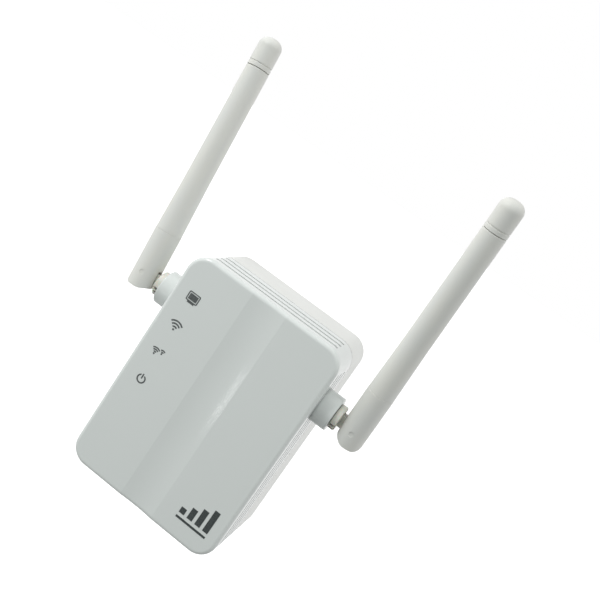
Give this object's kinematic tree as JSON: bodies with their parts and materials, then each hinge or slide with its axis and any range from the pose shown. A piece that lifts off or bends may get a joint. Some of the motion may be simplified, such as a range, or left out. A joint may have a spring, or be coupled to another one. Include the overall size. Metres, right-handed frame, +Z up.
{
  "type": "wifi range extender",
  "caption": "White plug-in wireless range extender: a rounded box with a shallow front trough and side grooves, a mains plug on the back and a folding swivel antenna on each side.",
  "frame": {"origin": "middle of the plug nose's flat end face, halfway between the two mains pins", "axes": "+Z up when plugged in, +X right when the front is faced, +Y into the wall along the pins; the front faces -Y"},
  "size_m": [0.106, 0.0825, 0.1534],
  "materials": {
    "case_plastic": "gloss white ABS",
    "antenna_plastic": "satin white elastomer sheath",
    "ivory_plastic": "natural ivory nylon",
    "button_plastic": "satin light grey ABS",
    "print_ink": "dark grey pad print",
    "label_film": "matt silver-grey film",
    "pin_brass": "nickel-plated brass",
    "sleeve_plastic": "black insulating sleeve",
    "steel": "zinc-plated steel",
    "shield_metal": "tinned steel",
    "green_board": "green solder mask",
    "tan_board": "tan phenolic board",
    "chip_black": "black moulding compound",
    "capacitor_sleeve": "dark heat-shrink sleeve",
    "output_sleeve": "blue heat-shrink sleeve",
    "resistor_coat": "green resistor coating",
    "ferrite": "grey-black ferrite",
    "winding_tape": "yellow winding tape",
    "ceramic_coat": "blue ceramic coating",
    "jack_plastic": "black nylon",
    "gold_contact": "gold-plated contact",
    "brass": "bare brass",
    "lead_jacket": "grey coaxial jacket",
    "clear_plastic": "clear acrylic",
    "led_resin": "pale LED resin"
  },
  "bodies": {
    "case": {"front_cover": "case_plastic", "rear_housing": "case_plastic", "case_screws": "steel", "rating_label": "label_film", "front_emblem": "print_ink", "status_icons": "print_ink", "plug_carrier": "case_plastic", "line_pin": "pin_brass", "neutral_pin": "pin_brass", "line_sleeve": "sleeve_plastic", "neutral_sleeve": "sleeve_plastic", "power_board": "tan_board", "power_board_screws": "steel", "fusible_resistor": "resistor_coat", "bridge_rectifier": "chip_black", "primary_capacitors": "capacitor_sleeve", "line_choke": "ferrite", "transformer_core": "ferrite", "transformer_winding": "winding_tape", "switcher_chip": "chip_black", "y_capacitor": "ceramic_coat", "output_diode": "chip_black", "output_capacitors": "output_sleeve", "board_header": "jack_plastic", "main_board": "green_board", "main_board_screws": "steel", "wifi_chip": "chip_black", "shield_can": "shield_metal", "memory_chip": "chip_black", "crystal": "shield_metal", "voltage_regulator": "chip_black", "power_inductor": "ferrite", "lan_transformer": "chip_black", "ethernet_jack": "jack_plastic", "jack_contacts": "gold_contact", "status_leds": "led_resin", "light_guide": "clear_plastic", "antenna_connectors": "gold_contact", "coax_right": "lead_jacket", "coax_left": "lead_jacket", "switch_housing": "chip_black"},
    "button": {"wps_button": "button_plastic", "switch_plunger": "button_plastic"},
    "swivel_right": {"swivel_base_right": "ivory_plastic", "neck_coax_right": "lead_jacket"},
    "antenna_right": {"elbow_pins_right": "steel", "knuckle_right": "antenna_plastic", "tube_right": "antenna_plastic", "cap_right": "antenna_plastic", "radiator_right": "brass"},
    "swivel_left": {"swivel_base_left": "ivory_plastic", "neck_coax_left": "lead_jacket"},
    "antenna_left": {"elbow_pins_left": "steel", "knuckle_left": "antenna_plastic", "tube_left": "antenna_plastic", "cap_left": "antenna_plastic", "radiator_left": "brass"}
  },
  "joints": [
    {"name": "right_swivel", "type": "hinge", "parent": "case", "child": "swivel_right", "pos_m": [0.0358, -0.0474, 0.0224], "axis": [1, 0, 0], "range_deg": [-178, 162]},
    {"name": "right_elbow", "type": "hinge", "parent": "swivel_right", "child": "antenna_right", "pos_m": [0.0441, -0.0474, 0.0224], "axis": [0, 0.9903, 0.1392], "range_deg": [0, 90]},
    {"name": "left_swivel", "type": "hinge", "parent": "case", "child": "swivel_left", "pos_m": [-0.0358, -0.0474, 0.0224], "axis": [1, 0, 0], "range_deg": [-164, 176]},
    {"name": "left_elbow", "type": "hinge", "parent": "swivel_left", "child": "antenna_left", "pos_m": [-0.0441, -0.0474, 0.0224], "axis": [0, -0.9945, 0.1045], "range_deg": [-6, 84]},
    {"name": "button_press", "type": "slide", "parent": "case", "child": "button", "axis": [0, 0, 1], "range_m": [0, 0.0005], "stiffness_N_per_m": 600, "springref_m": -0.001}
  ]
}
